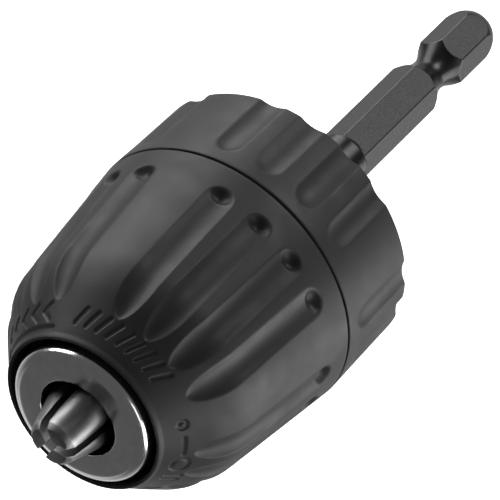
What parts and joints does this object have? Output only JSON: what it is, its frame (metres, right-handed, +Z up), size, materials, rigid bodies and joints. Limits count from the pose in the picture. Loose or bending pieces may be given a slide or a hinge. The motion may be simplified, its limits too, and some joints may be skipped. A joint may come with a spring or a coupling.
{
  "type": "keyless drill chuck",
  "caption": "Keyless three-jaw drill chuck with a ribbed hand-tightened front sleeve, a fixed rear sleeve and a hexagonal quick-change shank.",
  "frame": {"origin": "centre of the flat end face of the hexagonal shank, on the chuck axis", "axes": "+Y along the chuck axis from the jaws to the shank end, +Z up, +X to the right when looking at the jaws along +Y"},
  "size_m": [0.038, 0.0941, 0.038],
  "materials": {
    "grip_plastic": "matte charcoal black moulded glass-filled plastic with a fine eggshell grain",
    "nose_steel": "polished steel with a bright rolled rim",
    "jaw_steel": "ground and polished hardened steel",
    "shank_steel": "dark phosphated steel with a fine speckled grain",
    "body_steel": "oiled dark machined steel",
    "bearing_steel": "ground bearing steel"
  },
  "bodies": {
    "chuck_root": {"chuck_body": "body_steel", "rear_sleeve": "grip_plastic", "nose_ring": "nose_steel", "shank_adapter": "shank_steel", "body_thrust_washer": "bearing_steel"},
    "sleeve": {"front_sleeve": "grip_plastic", "nut_band": "body_steel", "nut_half_1": "body_steel", "nut_half_2": "body_steel", "nut_thrust_washer": "bearing_steel"},
    "jaw_1": {"jaw_1": "jaw_steel"},
    "jaw_2": {"jaw_2": "jaw_steel"},
    "jaw_3": {"jaw_3": "jaw_steel"},
    "cage": {"ball_cage": "bearing_steel", "bearing_ball_01": "bearing_steel", "bearing_ball_02": "bearing_steel", "bearing_ball_03": "bearing_steel", "bearing_ball_04": "bearing_steel", "bearing_ball_05": "bearing_steel", "bearing_ball_06": "bearing_steel", "bearing_ball_07": "bearing_steel", "bearing_ball_08": "bearing_steel", "bearing_ball_09": "bearing_steel", "bearing_ball_10": "bearing_steel", "bearing_ball_11": "bearing_steel", "bearing_ball_12": "bearing_steel"}
  },
  "joints": [
    {"name": "sleeve_turn", "type": "hinge", "parent": "chuck_root", "child": "sleeve", "pos_m": [0, -0.0678, 0], "axis": [0, -1, 0], "range_deg": [-245, 3510]},
    {"name": "jaw_1_slide", "type": "slide", "parent": "chuck_root", "child": "jaw_1", "axis": [0.1541, 0.9613, 0.2285], "range_m": [-0.00111, 0.01562]},
    {"name": "jaw_2_slide", "type": "slide", "parent": "chuck_root", "child": "jaw_2", "axis": [0.1208, 0.9613, -0.2477], "range_m": [-0.00111, 0.01562]},
    {"name": "jaw_3_slide", "type": "slide", "parent": "chuck_root", "child": "jaw_3", "axis": [-0.275, 0.9613, 0.0192], "range_m": [-0.00111, 0.01562]},
    {"name": "cage_turn", "type": "hinge", "parent": "chuck_root", "child": "cage", "pos_m": [0, -0.0636, 0], "axis": [0, -1, 0], "range_deg": [-123.5, 1756]}
  ],
  "couplings": [
    {"joint": "jaw_1_slide", "follows": "sleeve_turn", "m_per_rad": 0.00025465},
    {"joint": "jaw_2_slide", "follows": "sleeve_turn", "m_per_rad": 0.00025465},
    {"joint": "jaw_3_slide", "follows": "sleeve_turn", "m_per_rad": 0.00025465},
    {"joint": "cage_turn", "follows": "sleeve_turn", "ratio": 0.5}
  ]
}
